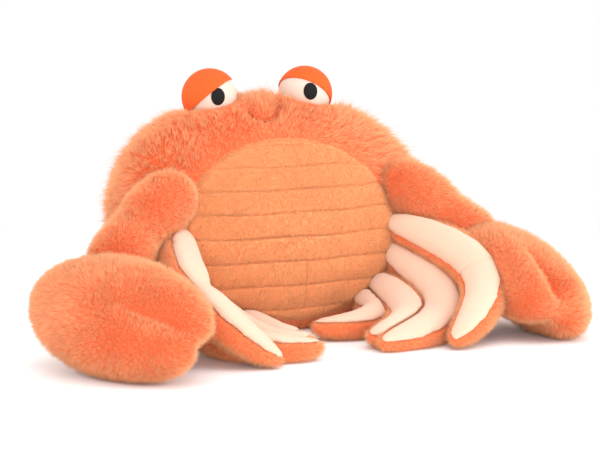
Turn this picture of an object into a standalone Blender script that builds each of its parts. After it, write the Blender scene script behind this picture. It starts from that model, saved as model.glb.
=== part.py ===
"""Plush crab, seated with its belly to the front.

Front is -Y, up is +Z, and left and right are as seen from the front (left is -X).
The origin is a point of the flat patch that the body sits on. Lengths are in metres.
"""

import math

import bmesh
import bpy
from mathutils import Matrix, Vector

# Clearance between pieces that touch
GAP = 0.0003

# Body: a squarish ellipsoid that leans back, flattened where it sits
BODY_HALF_WIDTH = 0.126
BODY_MIDDLE_FORWARD = 0.018
BODY_FRONT_DEPTH = 0.033
BODY_BACK_DEPTH = 0.096
BODY_CENTRE_HEIGHT = 0.082
BODY_RISE = 0.088
BODY_DROP = 0.092
BODY_SQUARENESS = 2.15
BODY_LEAN = 0.26
COVER_THICKNESS = 0.003

# Belly panel: a ribbed oval sewn into the front of the cover
BELLY_HALF_WIDTH = 0.087
BELLY_HALF_HEIGHT = 0.067
BELLY_HEIGHT = 0.0755
BELLY_BULGE = 0.008
BELLY_THICKNESS = 0.0035
RIB_PITCH = 0.0178
RIB_FIRST = 0.0065
RIB_GROOVE = 0.0022

# Eyes: stuffed balls with a half lid and a flat pupil
EYE_RADIUS = 0.0205
EYE_SPACING = 0.080
EYE_BACK = 0.016
EYE_HEIGHT = 0.172
LID_THICKNESS = 0.0012
LID_FACING = (0.525, 0.364, 0.772)
PUPIL_RADIUS = 0.0055
PUPIL_THICKNESS = 0.0007
PUPIL_STRETCH = 1.2
PUPIL_FACING = {"left": (-0.076, -0.995, 0.07), "right": (-0.2, -0.967, 0.155)}

# Mouth: one line of thread pulled into the pile, a little higher at its right end
MOUTH_MIDDLE = -0.006
MOUTH_HALF_WIDTH = 0.0125
MOUTH_HEIGHT = 0.164
MOUTH_SAG = 0.009
MOUTH_TILT = 0.20
MOUTH_THREAD_RADIUS = 0.0008

# Claws: flattened eggs with a cleft between two fingers. The two are one size but lie differently:
# middle, direction of the finger tips, and roll about that direction in degrees
CLAW_HALF_LENGTH = 0.072
CLAW_HALF_WIDTH = 0.041
CLAW_HALF_DEPTH = 0.029
CLAW_CLEFT_DEPTH = 0.48
CLAW_CLEFT_WIDTH = 0.24
CLAW_CLEFT_PLACE = {"left": 0.0, "right": 0.2}
CLAW_POSE = {
    "left": ((-0.1727, -0.1465, 0.0385), (0.494, -0.859, -0.134), -134.0),
    "right": ((0.1530, -0.1236, 0.0380), (0.032, -0.951, -0.307), -19.0),
}

# Arms: tubes with a stitched crease at the elbow, given as shoulder, elbow and wrist
ARM_ROUTES = {
    "left": ((-0.080, -0.030, 0.110), (-0.126, -0.060, 0.084), (-0.165, -0.103, 0.057)),
    "right": ((0.088, -0.028, 0.112), (0.124, -0.056, 0.081), (0.147, -0.084, 0.054)),
}
ARM_RADIUS = 0.021
ARM_ELBOW_PINCH = 0.20
ARM_PINCH_LENGTH = 0.09
ARM_PINCH_PLACE = 0.56

# Legs, from the top pair down: where each leaves the body, its knee and its tip
LEG_ROUTES = {
    "right": (
        ((0.085, -0.054, 0.073), (0.112, -0.132, 0.050), (0.0655, -0.176, 0.007)),
        ((0.0786, -0.0546, 0.053), (0.0876, -0.124, 0.025), (0.0155, -0.160, 0.0085)),
        ((0.0646, -0.057, 0.033), (0.057, -0.126, 0.020), (0.0146, -0.144, 0.011)),
        ((0.049, -0.060, 0.0225), (0.0435, -0.099, 0.0165), (-0.0085, -0.098, 0.0125)),
    ),
    "left": (
        ((-0.0867, -0.0515, 0.073), (-0.107, -0.1286, 0.051), (-0.066, -0.1785, 0.006)),
        ((-0.0786, -0.0546, 0.050), (-0.0876, -0.124, 0.021), (-0.0285, -0.163, 0.0125)),
        ((-0.0646, -0.057, 0.029), (-0.060, -0.124, 0.014), (-0.029, -0.141, 0.0145)),
        ((-0.040, -0.057, 0.015), (-0.038, -0.094, 0.0105), (-0.021, -0.105, 0.0095)),
    ),
}
# Direction that the cream side faces at the root and at the tip, from the top pair down
LEG_FACINGS = {
    "right": (
        ((-0.50, -0.62, 0.60), (-0.55, -0.60, 0.58)),
        ((-0.60, -0.70, 0.39), (-0.30, -0.50, 0.81)),
        ((-0.50, -0.75, 0.43), (-0.10, -0.40, 0.91)),
        ((-0.45, -0.70, 0.55), (0.10, 0.05, 0.99)),
    ),
    "left": (
        ((0.62, -0.18, 0.76), (0.40, -0.48, 0.78)),
        ((0.62, -0.18, 0.76), (0.12, 0.05, 0.99)),
        ((0.60, -0.20, 0.77), (0.08, 0.08, 0.99)),
        ((0.10, 0.05, 0.99), (0.05, 0.12, 0.99)),
    ),
}
LEG_ROOT_DEPTHS = (0.020, 0.018, 0.012, 0.007)
LEG_HALF_WIDTH = 0.0152
LEG_FRONT_DEPTH = 0.0085
LEG_BACK_DEPTH = 0.021
LEG_BACK_BULGE = 0.5
LEG_ROOT_SHARE = 0.92
LEG_TIP_SHARE = 0.74
LEG_SEAM_GAP = 0.0006
LEG_KNEE_SHARPNESS = (1.4, 1.3, 1.1, 0.9)
LEG_SCALES = (1.0, 1.0, 0.9, 0.78)

# Mesh fineness
BODY_SEGMENTS, BODY_RINGS = 28, 16
CLAW_SEGMENTS, CLAW_RINGS = 24, 14
LIMB_SEGMENTS, LIMB_RINGS = 12, 12
EYE_SEGMENTS, EYE_RINGS = 16, 10
BELLY_COLUMNS = 16
RIB_ROWS = (0.0, 0.16, 0.5, 0.84)

SIDES = {"left": -1.0, "right": 1.0}

# Colours of the fabrics: base colour and roughness
FABRICS = {
    "coral_fur": ((0.96, 0.30, 0.13), 0.95),
    "peach_cord": ((0.95, 0.47, 0.22), 0.95),
    "cream_suede": ((0.93, 0.76, 0.60), 0.85),
    "eye_white": ((0.87, 0.83, 0.77), 0.80),
    "lid_orange": ((0.95, 0.25, 0.06), 0.80),
    "pupil_black": ((0.02, 0.016, 0.015), 0.60),
    "mouth_thread": ((0.62, 0.12, 0.05), 0.70),
    "fibre_fill": ((0.93, 0.93, 0.91), 0.95),
}


def clear_scene():
    for thing in list(bpy.data.objects):
        bpy.data.objects.remove(thing)


def fabric(name):
    """A plain material in the fabric's colour."""
    colour, roughness = FABRICS[name]
    material = bpy.data.materials.new(name)
    material.use_nodes = True
    shader = material.node_tree.nodes["Principled BSDF"]
    shader.inputs["Base Color"].default_value = (*colour, 1.0)
    shader.inputs["Roughness"].default_value = roughness
    shader.inputs["Metallic"].default_value = 0.0
    return material


def new_piece(name, shape, material, group):
    """One named object made from a bmesh, which is used up."""
    shape.normal_update()
    bmesh.ops.recalc_face_normals(shape, faces=shape.faces)
    if shape.calc_volume(signed=True) < 0.0:
        bmesh.ops.reverse_faces(shape, faces=shape.faces)
    mesh = bpy.data.meshes.new(name)
    shape.to_mesh(mesh)
    shape.free()
    if material is not None:
        mesh.materials.append(material)
    mesh.shade_smooth()
    piece = bpy.data.objects.new(name, mesh)
    group.objects.link(piece)
    return piece


def moved_sphere(segments, rings, place):
    """A UV sphere in triangles, whose points place() moves from unit directions to the real form."""
    shape = bmesh.new()
    bmesh.ops.create_uvsphere(shape, u_segments=segments, v_segments=rings, radius=1.0)
    bmesh.ops.triangulate(shape, faces=shape.faces, quad_method="FIXED")
    for point in shape.verts:
        point.co = place(point.co.normalized())
    return shape


def trim(shape, point, facing):
    """Cuts away what lies on the facing side of a plane and closes the cut with one flat face."""
    geometry = shape.verts[:] + shape.edges[:] + shape.faces[:]
    cut = bmesh.ops.bisect_plane(
        shape, geom=geometry, plane_co=point, plane_no=facing, clear_outer=True
    )
    rim = [edge for edge in cut["geom_cut"] if isinstance(edge, bmesh.types.BMEdge)]
    if rim:
        bmesh.ops.holes_fill(shape, edges=rim, sides=0)


def flatten_on_floor(shape, height=0.0):
    """A soft piece is flat where it rests."""
    trim(shape, Vector((0.0, 0.0, height)), Vector((0.0, 0.0, -1.0)))


def boolean(piece, cutter, operation="DIFFERENCE"):
    """Cuts piece by cutter, or keeps what they share, and bakes the result into piece."""
    modifier = piece.modifiers.new("cut", "BOOLEAN")
    modifier.operation = operation
    modifier.solver = "EXACT"
    modifier.use_self = cutter.name.startswith("leg")
    modifier.object = cutter
    bpy.context.view_layer.update()
    graph = bpy.context.evaluated_depsgraph_get()
    mesh = bpy.data.meshes.new_from_object(piece.evaluated_get(graph))
    piece.modifiers.clear()
    old = piece.data
    piece.data = mesh
    bpy.data.meshes.remove(old)


def drop_scraps(piece):
    """Keeps the largest of the bodies that the cuts left."""
    shape = bmesh.new()
    shape.from_mesh(piece.data)
    waiting, bodies = set(shape.faces), []
    while waiting:
        body, front = [], [waiting.pop()]
        while front:
            face = front.pop()
            body.append(face)
            for line in face.edges:
                for other in line.link_faces if len(line.link_faces) == 2 else ():
                    if other in waiting:
                        waiting.remove(other)
                        front.append(other)
        bodies.append(body)
    bodies.sort(key=lambda body: sum(face.calc_area() for face in body))
    scraps = [face for body in bodies[:-1] for face in body]
    bmesh.ops.delete(shape, geom=scraps, context="FACES")
    shape.to_mesh(piece.data)
    shape.free()


def extent(piece):
    corners = [piece.matrix_world @ Vector(corner) for corner in piece.bound_box]
    lowest = [min(corner[axis] for corner in corners) for axis in range(3)]
    highest = [max(corner[axis] for corner in corners) for axis in range(3)]
    return lowest, highest


def cut_if_near(piece, cutter):
    """Cuts only where the two boxes meet, so that other pieces stay as they are."""
    (low_a, high_a), (low_b, high_b) = extent(piece), extent(cutter)
    if all(low_a[i] < high_b[i] and low_b[i] < high_a[i] for i in range(3)):
        boolean(piece, cutter)


def smooth_step(value):
    value = min(max(value, 0.0), 1.0)
    return value * value * (3.0 - 2.0 * value)


def belly_radius(x, z):
    """How far out of the belly panel's middle a point lies in front view: 1 is its seam."""
    return math.hypot(x / BELLY_HALF_WIDTH, (z - BELLY_HEIGHT) / BELLY_HALF_HEIGHT)


def belly_swell(x, z):
    """How far the stuffing pushes the belly panel forward."""
    return BELLY_BULGE * max(0.0, 1.0 - belly_radius(x, z) ** 2) ** 0.8


def body_point(way, extra=0.0):
    """The body's surface in a unit direction from its middle, moved out by extra."""
    power = BODY_SQUARENESS
    reach = sum(abs(part) ** power for part in way) ** (-1.0 / power)
    x, y, z = (part * reach for part in way)
    height = BODY_RISE if z > 0.0 else BODY_DROP
    swell = belly_swell(x * BODY_HALF_WIDTH, z * height + BODY_CENTRE_HEIGHT) if y < 0.0 else 0.0
    x *= BODY_HALF_WIDTH + extra
    y *= (BODY_FRONT_DEPTH if y < 0.0 else BODY_BACK_DEPTH) + extra
    z *= height + extra
    y += BODY_LEAN * z - BODY_MIDDLE_FORWARD - swell
    return Vector((x, y, z + BODY_CENTRE_HEIGHT))


def body_front(x, z, extra=0.0):
    """The front of the body at a given place in front view."""
    rise = z - BODY_CENTRE_HEIGHT
    height = (BODY_RISE if rise > 0.0 else BODY_DROP) + extra
    power = BODY_SQUARENESS
    share = abs(x / (BODY_HALF_WIDTH + extra)) ** power + abs(rise / height) ** power
    depth = (BODY_FRONT_DEPTH + extra) * max(0.0, 1.0 - share) ** (1.0 / power)
    return Vector((x, BODY_LEAN * rise - BODY_MIDDLE_FORWARD - depth - belly_swell(x, z), z))


def body_shape(extra=0.0, floor=None):
    """The closed form of the body, flattened at the floor height if one is given."""
    shape = moved_sphere(BODY_SEGMENTS, BODY_RINGS, lambda way: body_point(way, extra))
    if floor is not None:
        flatten_on_floor(shape, floor)
    return shape


def belly_cutter(group, extra):
    """An oval prism through the front of the body, extra larger than the belly's seam."""
    shape = bmesh.new()
    bmesh.ops.create_cone(
        shape,
        cap_ends=True,
        segments=48,
        radius1=1.0,
        radius2=1.0,
        depth=1.0,
        matrix=Matrix.Rotation(math.radians(90.0), 4, "X"),
    )
    reach = BODY_FRONT_DEPTH + BODY_MIDDLE_FORWARD + BELLY_BULGE
    length = 2.0 * (reach + BODY_LEAN * BODY_CENTRE_HEIGHT)
    for point in shape.verts:
        x, y, z = point.co
        point.co = (
            x * (BELLY_HALF_WIDTH + extra),
            (y - 0.5) * length,
            BELLY_HEIGHT + z * (BELLY_HALF_HEIGHT + extra),
        )
    return new_piece("belly_cutter", shape, None, group)


def make_body(parts, cutters, materials):
    """The fur cover as an open shell, and the fibre filling inside it."""
    cover = new_piece("body_cover", body_shape(0.0, 0.0), materials["coral_fur"], parts)
    hollow = new_piece(
        "body_hollow", body_shape(-COVER_THICKNESS, COVER_THICKNESS), None, cutters
    )
    boolean(cover, hollow)
    boolean(cover, belly_cutter(cutters, GAP))
    inner = body_shape(-COVER_THICKNESS - GAP, COVER_THICKNESS + GAP)
    filling = new_piece("body_filling", inner, materials["fibre_fill"], parts)
    slab = belly_shape(GAP, BELLY_THICKNESS + RIB_GROOVE + 2.0 * GAP, ribbed=False)
    boolean(filling, new_piece("belly_slab", slab, None, cutters))
    drop_scraps(filling)


def belly_rows():
    """Heights of the panel's rows with the groove depth at each, evenly spaced along its surface."""
    half = (BELLY_HALF_HEIGHT - GAP) * 0.985
    steps = 400
    heights = [BELLY_HEIGHT + half * (1.0 - 2.0 * step / steps) for step in range(steps + 1)]
    length, walked = 0.0, [0.0]
    for upper, lower in zip(heights, heights[1:]):
        length += (body_front(0.0, upper) - body_front(0.0, lower)).length
        walked.append(length)

    stations = [(0.0, 0.5), (length, 0.5)]
    for rib in range(-1, math.ceil(length / RIB_PITCH) + 1):
        for share in RIB_ROWS:
            station = RIB_FIRST + (rib + share) * RIB_PITCH
            if 0.08 * RIB_PITCH < station < length - 0.08 * RIB_PITCH:
                stations.append((station, share))
    rows = []
    for station, share in sorted(stations):
        step = min(range(steps + 1), key=lambda index: abs(walked[index] - station))
        depth = RIB_GROOVE * (1.0 - math.sqrt(math.sin(math.pi * share)))
        rows.append((heights[step], depth))
    return rows


def belly_shape(extra=0.0, thickness=BELLY_THICKNESS, ribbed=True):
    """A closed slab that follows the body's front inside the oval: a grid given its thickness."""
    rows = belly_rows()
    shape = bmesh.new()
    bmesh.ops.create_grid(shape, x_segments=BELLY_COLUMNS, y_segments=len(rows) - 1, size=1.0)
    for point in shape.verts:
        across = point.co.x
        row = round((1.0 - point.co.y) / 2.0 * (len(rows) - 1))
        height, groove = rows[row]
        level = (height - BELLY_HEIGHT) / (BELLY_HALF_HEIGHT - GAP)
        x = across * (BELLY_HALF_WIDTH - GAP + extra) * math.sqrt(1.0 - level * level)
        z = BELLY_HEIGHT + level * (BELLY_HALF_HEIGHT - GAP + extra)
        point.co = body_front(x, z)
        point.co.y += groove if ribbed else -extra
    shape.normal_update()
    if sum(face.normal.y for face in shape.faces) > 0.0:
        bmesh.ops.reverse_faces(shape, faces=shape.faces)
    back = bmesh.ops.extrude_face_region(shape, geom=shape.faces[:])
    for point in (v for v in back["geom"] if isinstance(v, bmesh.types.BMVert)):
        point.co.y += thickness
    return shape


def make_belly(parts, cutters, materials):
    """The ribbed panel, and the room it takes from the limbs beside it."""
    new_piece("belly_panel", belly_shape(), materials["peach_cord"], parts)
    room = belly_shape(GAP, 3.0 * BELLY_THICKNESS, ribbed=False)
    return new_piece("belly_room", room, None, cutters)


def mirrored(point, side):
    return Vector((point[0] * side, point[1], point[2]))


def eye_centre(side):
    return Vector((side * EYE_SPACING / 2.0, EYE_BACK, EYE_HEIGHT))


def turned_to(facing):
    """Turns +Z to face a direction."""
    return Vector(facing).to_track_quat("Z", "Y").to_matrix()


def make_lid(side, radius, thickness):
    """Half a ball shell on the facing side of a plane through the eye's middle."""
    turn = turned_to(mirrored(LID_FACING, side))
    middle = eye_centre(side)
    shape = moved_sphere(
        EYE_SEGMENTS, EYE_RINGS, lambda way: middle + turn @ (way * (radius + thickness))
    )
    trim(shape, middle, -(turn @ Vector((0.0, 0.0, 1.0))))
    return shape


def make_pupil(side_name):
    """A thin oval patch that follows the ball."""
    side = SIDES[side_name]
    aim = Vector(PUPIL_FACING[side_name]).normalized()
    turn = turned_to(aim)
    reach = EYE_RADIUS + GAP
    shape = bmesh.new()
    bmesh.ops.create_circle(shape, cap_ends=True, segments=16, radius=PUPIL_RADIUS)
    bmesh.ops.inset_region(shape, faces=shape.faces[:], thickness=PUPIL_RADIUS * 0.5)
    bmesh.ops.poke(shape, faces=[face for face in shape.faces if len(face.verts) > 4])
    for point in shape.verts:
        flat = Vector((point.co.x, point.co.y * PUPIL_STRETCH, 0.0))
        flat.z = math.sqrt(reach**2 - flat.length_squared)
        point.co = flat
    shape.normal_update()
    if sum(face.normal.z for face in shape.faces) < 0.0:
        bmesh.ops.reverse_faces(shape, faces=shape.faces)
    raised = bmesh.ops.extrude_face_region(shape, geom=shape.faces[:])
    for point in (v for v in raised["geom"] if isinstance(v, bmesh.types.BMVert)):
        point.co *= 1.0 + PUPIL_THICKNESS / reach
    bmesh.ops.transform(
        shape,
        matrix=Matrix.Translation(eye_centre(side)) @ turn.to_4x4(),
        verts=shape.verts,
    )
    lid_way = mirrored(LID_FACING, side).normalized()
    trim(shape, eye_centre(side) - lid_way * GAP, lid_way)
    return shape


def make_eyes(parts, cutters, materials, body_cutter):
    for name, side in SIDES.items():
        middle = eye_centre(side)
        ball = new_piece(
            f"eye_{name}",
            moved_sphere(EYE_SEGMENTS, EYE_RINGS, lambda way: middle + way * EYE_RADIUS),
            materials["eye_white"],
            parts,
        )
        boolean(ball, body_cutter)
        room = new_piece(
            f"eye_room_{name}",
            moved_sphere(
                EYE_SEGMENTS, EYE_RINGS, lambda way: middle + way * (EYE_RADIUS + GAP)
            ),
            None,
            cutters,
        )
        lid = new_piece(
            f"eyelid_{name}",
            make_lid(side, EYE_RADIUS + GAP, LID_THICKNESS),
            materials["lid_orange"],
            parts,
        )
        boolean(lid, room)
        boolean(lid, body_cutter)
        new_piece(f"pupil_{name}", make_pupil(name), materials["pupil_black"], parts)


def make_mouth(parts, materials):
    """A sagging line of thread that lies on the front of the body, as a curve with capped ends."""
    steps = 10
    curve = bpy.data.curves.new("mouth_stitch", "CURVE")
    curve.dimensions = "3D"
    curve.bevel_depth = MOUTH_THREAD_RADIUS
    curve.bevel_resolution = 2
    curve.use_fill_caps = True
    line = curve.splines.new("POLY")
    line.points.add(steps)
    lift = MOUTH_THREAD_RADIUS + GAP
    for index, point in enumerate(line.points):
        along = 2.0 * index / steps - 1.0
        x = MOUTH_MIDDLE + along * MOUTH_HALF_WIDTH
        z = MOUTH_HEIGHT - MOUTH_SAG * (1.0 - along * along) + MOUTH_TILT * (x - MOUTH_MIDDLE)
        place = body_front(x, z, 1.4 * lift)
        point.co = (*place, 1.0)
    curve.materials.append(materials["mouth_thread"])
    parts.objects.link(bpy.data.objects.new("mouth_stitch", curve))


def claw_frame(side_name):
    """The claw's own axes: wide across both fingers, deep through them, long to their tips."""
    aim, roll_deg = CLAW_POSE[side_name][1:]
    long_way = Vector(aim).normalized()
    level = long_way.cross(Vector((0.0, 0.0, 1.0))).normalized()
    roll = Matrix.Rotation(math.radians(roll_deg), 3, long_way)
    wide_way = roll @ level
    return wide_way, long_way.cross(wide_way), long_way


def claw_shape(side_name, extra=0.0):
    """An egg with a cleft that deepens towards the finger tips."""
    wide_way, deep_way, long_way = claw_frame(side_name)
    middle = Vector(CLAW_POSE[side_name][0])

    def place(way):
        wide, deep, along = way
        nearness = math.exp(-(((wide - CLAW_CLEFT_PLACE[side_name]) / CLAW_CLEFT_WIDTH) ** 2))
        cleft = CLAW_CLEFT_DEPTH * nearness * smooth_step((along + 0.35) / 1.1)
        return (
            middle
            + wide_way * wide * (CLAW_HALF_WIDTH + extra)
            + deep_way * deep * (1.0 - cleft) * (CLAW_HALF_DEPTH + extra)
            + long_way * along * (1.0 - 0.25 * cleft) * (CLAW_HALF_LENGTH + extra)
        )

    return moved_sphere(CLAW_SEGMENTS, CLAW_RINGS, place)


def bend(route, sharpness, share):
    """A point on the smooth bend through a limb's start, middle and end, and its heading."""
    start, middle, end = route
    corner = (middle * (2.0 + 2.0 * sharpness) - start - end) / (2.0 * sharpness)
    rest = 1.0 - share
    corner_pull = 2.0 * sharpness * share * rest
    total = rest**2 + corner_pull + share**2
    place = (start * rest**2 + corner * corner_pull + end * share**2) / total
    slope = (
        (corner - start) * sharpness * rest**2
        + (end - start) * share * rest
        + (end - corner) * sharpness * share**2
    )
    return place, slope.normalized()


def share_along(way):
    """Where a point of the unit sphere lies along a limb: 0 at the root, 1 at the tip."""
    return 0.5 - 0.5 * way.z


def round_ends(share):
    return (1.0 - abs(2.0 * share - 1.0) ** 6) ** 0.5


def arm_shape(side_name, extra=0.0):
    """A bent tube with round ends and a pinch at the elbow."""
    route = [Vector(point) for point in ARM_ROUTES[side_name]]

    def place(way):
        share = share_along(way)
        middle, heading = bend(route, 1.0, share)
        across = Vector((0.0, 0.0, 1.0)).cross(heading).normalized()
        over = heading.cross(across)
        pinch = math.exp(-(((share - ARM_PINCH_PLACE) / ARM_PINCH_LENGTH) ** 2))
        radius = (ARM_RADIUS + extra) * round_ends(share) * (1.0 - ARM_ELBOW_PINCH * pinch)
        ring = Vector((way.x, way.y)).normalized() if abs(way.z) < 0.9999 else Vector((0, 0))
        return middle + (across * ring.x + over * ring.y) * radius

    return moved_sphere(LIMB_SEGMENTS, LIMB_RINGS, place)


def leg_size(share):
    """How full the leg is along its length: pinched at the body, fullest at the knee."""
    if share < 0.45:
        size = LEG_ROOT_SHARE + (1.0 - LEG_ROOT_SHARE) * smooth_step(share / 0.45)
    else:
        size = 1.0 - (1.0 - LEG_TIP_SHARE) * smooth_step((share - 0.45) / 0.55)
    return round_ends(share) * size


def leg_shape(side_name, index, half, extra=0.0):
    """One sewn half of a leg, or the whole leg: a bent limb with its seam along the route."""
    root, knee, tip = (Vector(point) for point in LEG_ROUTES[side_name][index])
    root += (root - knee).normalized() * LEG_ROOT_DEPTHS[index]
    first, last = (Vector(facing) for facing in LEG_FACINGS[side_name][index])

    def place(way):
        share = share_along(way)
        middle, heading = bend((root, knee, tip), LEG_KNEE_SHARPNESS[index], share)
        facing = first.lerp(last, share)
        over = (facing - heading * facing.dot(heading)).normalized()
        across = over.cross(heading)
        ring = Vector((way.x, way.y)).normalized() if abs(way.z) < 0.9999 else Vector((0, 0))
        size = leg_size(share) * LEG_SCALES[index]
        width = ring.x * LEG_HALF_WIDTH
        if ring.y >= 0.0:
            depth = ring.y**0.8 * LEG_FRONT_DEPTH
        else:
            width *= 1.0 if half == "front" else 1.0 - LEG_BACK_BULGE * ring.y
            depth = -(abs(ring.y) ** 0.8) * LEG_BACK_DEPTH
        width = (width * size) + ring.x * extra
        depth = (depth * size) + ring.y * extra
        if half == "front":
            depth = max(depth, 0.0) + LEG_SEAM_GAP / 2.0
        elif half == "back":
            depth = min(depth, 0.0) - LEG_SEAM_GAP / 2.0 + extra
        return middle + across * width + over * depth + heading * (-way.z * extra)

    return moved_sphere(LIMB_SEGMENTS, LIMB_RINGS, place)


def make_limbs(parts, cutters, materials, body_cutters):
    """Legs seated on the body and on each other, then claws beside them, then arms between."""
    taken = list(body_cutters)
    for name in SIDES:
        for index in range(len(LEG_ROUTES[name])):
            make_leg(name, index, taken, parts, cutters, materials)
            whole = leg_shape(name, index, "whole", 2.0 * GAP)
            taken.append(new_piece(f"leg_cutter_{name}_{index + 1}", whole, None, cutters))
    for name in SIDES:
        shape = claw_shape(name)
        flatten_on_floor(shape)
        claw = new_piece(f"claw_{name}", shape, materials["coral_fur"], parts)
        arm = new_piece(f"arm_{name}", arm_shape(name), materials["coral_fur"], parts)
        room = new_piece(f"claw_cutter_{name}", claw_shape(name, GAP), None, cutters)
        for cutter in taken:
            cut_if_near(claw, cutter)
            cut_if_near(arm, cutter)
        boolean(arm, room)


def make_leg(side_name, index, taken, parts, cutters, materials):
    """One leg as two sewn halves: a cream front and a fur back."""
    for half, material in (("front", "cream_suede"), ("back", "coral_fur")):
        shape = leg_shape(side_name, index, half)
        flatten_on_floor(shape)
        name = f"leg_{side_name}_{index + 1}_{half}"
        piece = new_piece(name, shape, materials[material], parts)
        for cutter in taken:
            cut_if_near(piece, cutter)
        if half == "front":
            seam = leg_shape(side_name, index, "back", GAP)
            boolean(piece, new_piece(f"leg_seam_cutter_{name}", seam, None, cutters))
        drop_scraps(piece)


def main():
    clear_scene()
    parts = bpy.data.collections.new("plush_crab")
    cutters = bpy.data.collections.new("cutters")
    for group in (parts, cutters):
        bpy.context.scene.collection.children.link(group)
    materials = {name: fabric(name) for name in FABRICS}

    body_cutter = new_piece("body_cutter", body_shape(GAP), None, cutters)
    make_body(parts, cutters, materials)
    belly_room = make_belly(parts, cutters, materials)
    make_eyes(parts, cutters, materials, body_cutter)
    make_mouth(parts, materials)
    make_limbs(parts, cutters, materials, [body_cutter, belly_room])

    for cutter in cutters.objects:
        cutter.hide_render = True
        cutter.display_type = "WIRE"


main()
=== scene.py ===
# %% [markdown]
# # A plush crab, dressed
# The solids that come with this lesson hold the backing of every sewn piece, in the pose of the
# photo. Here each of them gets what a hand would feel: long pile on the body and claws, a short
# ribbed pile on the belly, brushed cream fabric on the legs, felt eyes and a sewn smile.

import math

import bmesh
import bpy
import numpy as np
from mathutils import Matrix, Vector
from mathutils.bvhtree import BVHTree


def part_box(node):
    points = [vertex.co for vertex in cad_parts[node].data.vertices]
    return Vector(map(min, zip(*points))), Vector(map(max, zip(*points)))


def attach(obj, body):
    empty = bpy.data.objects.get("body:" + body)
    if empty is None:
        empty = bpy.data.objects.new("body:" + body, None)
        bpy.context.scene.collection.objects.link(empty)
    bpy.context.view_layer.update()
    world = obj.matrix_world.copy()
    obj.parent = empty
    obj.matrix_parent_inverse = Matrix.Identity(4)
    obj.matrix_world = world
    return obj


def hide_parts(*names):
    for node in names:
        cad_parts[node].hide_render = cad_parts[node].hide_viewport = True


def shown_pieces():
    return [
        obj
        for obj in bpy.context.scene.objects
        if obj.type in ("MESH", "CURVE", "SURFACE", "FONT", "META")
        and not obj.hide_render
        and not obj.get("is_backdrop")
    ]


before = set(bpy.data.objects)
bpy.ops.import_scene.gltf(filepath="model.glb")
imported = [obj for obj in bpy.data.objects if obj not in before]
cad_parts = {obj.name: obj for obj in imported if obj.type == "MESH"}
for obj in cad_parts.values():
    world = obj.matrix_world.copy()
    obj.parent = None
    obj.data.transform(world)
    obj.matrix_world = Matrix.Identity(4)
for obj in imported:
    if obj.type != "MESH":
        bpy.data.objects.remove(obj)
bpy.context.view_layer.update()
SIDES = {"left": -1.0, "right": 1.0}
print("solids:", len(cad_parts))

# %% [markdown]
# ## Copies to sew on
# A solid arrives as loose triangles. A copy is merged first. A voxel remesh then gives it even,
# small faces, and a few rounds of smoothing take the corners off, as stuffing does. A Subdivision
# Surface would round it too, but it keeps the solid's own layout of faces, and both the nap and
# the cloth simulation want points that are evenly spaced.


# %% Merged copies and soft forms
# Nothing that is dressed here reaches lower than this above the floor
FLOOR_GAP = 0.0003


def new_piece(name, shape):
    """One object at the origin from a bmesh, which is used up."""
    mesh = bpy.data.meshes.new(name)
    shape.to_mesh(mesh)
    shape.free()
    mesh.shade_smooth()
    piece = bpy.data.objects.new(name, mesh)
    bpy.context.scene.collection.objects.link(piece)
    return piece


def bake_modifiers(piece):
    """Replaces the piece's mesh by what its modifiers make of it."""
    solved = piece.evaluated_get(bpy.context.evaluated_depsgraph_get())
    mesh = bpy.data.meshes.new_from_object(solved)
    piece.modifiers.clear()
    piece.data = mesh
    mesh.shade_smooth()
    return piece


def soft_form(name, nodes, voxel, rounds, swell=0.0):
    """One closed, evenly meshed, rounded form from copies of some solids."""
    shape = bmesh.new()
    for node in nodes:
        shape.from_mesh(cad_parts[node].data)
    bmesh.ops.remove_doubles(shape, verts=shape.verts, dist=1e-6)
    piece = new_piece(name, shape)
    remesh = piece.modifiers.new("Even faces", "REMESH")
    remesh.mode = "VOXEL"
    remesh.voxel_size = voxel
    smooth = piece.modifiers.new("Round off", "SMOOTH")
    smooth.factor = 0.5
    smooth.iterations = rounds
    bake_modifiers(piece)
    if swell:
        points, normals = places(piece), directions(piece)
        put(piece, points + normals * swell)
    return piece


def places(piece):
    """The piece's points as an array."""
    found = np.empty(len(piece.data.vertices) * 3)
    piece.data.vertices.foreach_get("co", found)
    return found.reshape(-1, 3)


def directions(piece):
    """The piece's outward directions at its points, as an array."""
    found = np.empty(len(piece.data.vertices) * 3, np.float32)
    piece.data.vertex_normals.foreach_get("vector", found)
    return found.reshape(-1, 3).astype(float)


def put(piece, points):
    """Moves the piece's points."""
    piece.data.vertices.foreach_set("co", points.ravel())
    piece.data.update()


def above_floor(points):
    """The same points, with those too close to the floor lifted."""
    points[:, 2] = np.maximum(points[:, 2], FLOOR_GAP)
    return points


def bell(distance, width):
    """1 at no distance, and falling to nothing over a few widths."""
    return np.exp(-((distance / width) ** 2))


def ramp(value, low, high):
    """0 below low, 1 above high, and smooth between."""
    share = np.clip((value - low) / (high - low), 0.0, 1.0)
    return share * share * (3.0 - 2.0 * share)


def unit(vectors):
    """The same directions, one long."""
    return vectors / np.maximum(np.linalg.norm(vectors, axis=-1, keepdims=True), 1e-9)


def laid_flat(flow, normals):
    """Directions with what points off the surface taken away."""
    return flow - normals * (flow * normals).sum(1)[:, None]


def line_distance(points, line):
    """How far each point is from a chain of straight pieces."""
    nearest = np.full(len(points), 1e9)
    for start, end in zip(line[:-1], line[1:]):
        along = end - start
        share = np.clip((points - start) @ along / (along @ along), 0.0, 1.0)
        gap = np.linalg.norm(points - start - share[:, None] * along, axis=1)
        nearest = np.minimum(nearest, gap)
    return nearest


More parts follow.
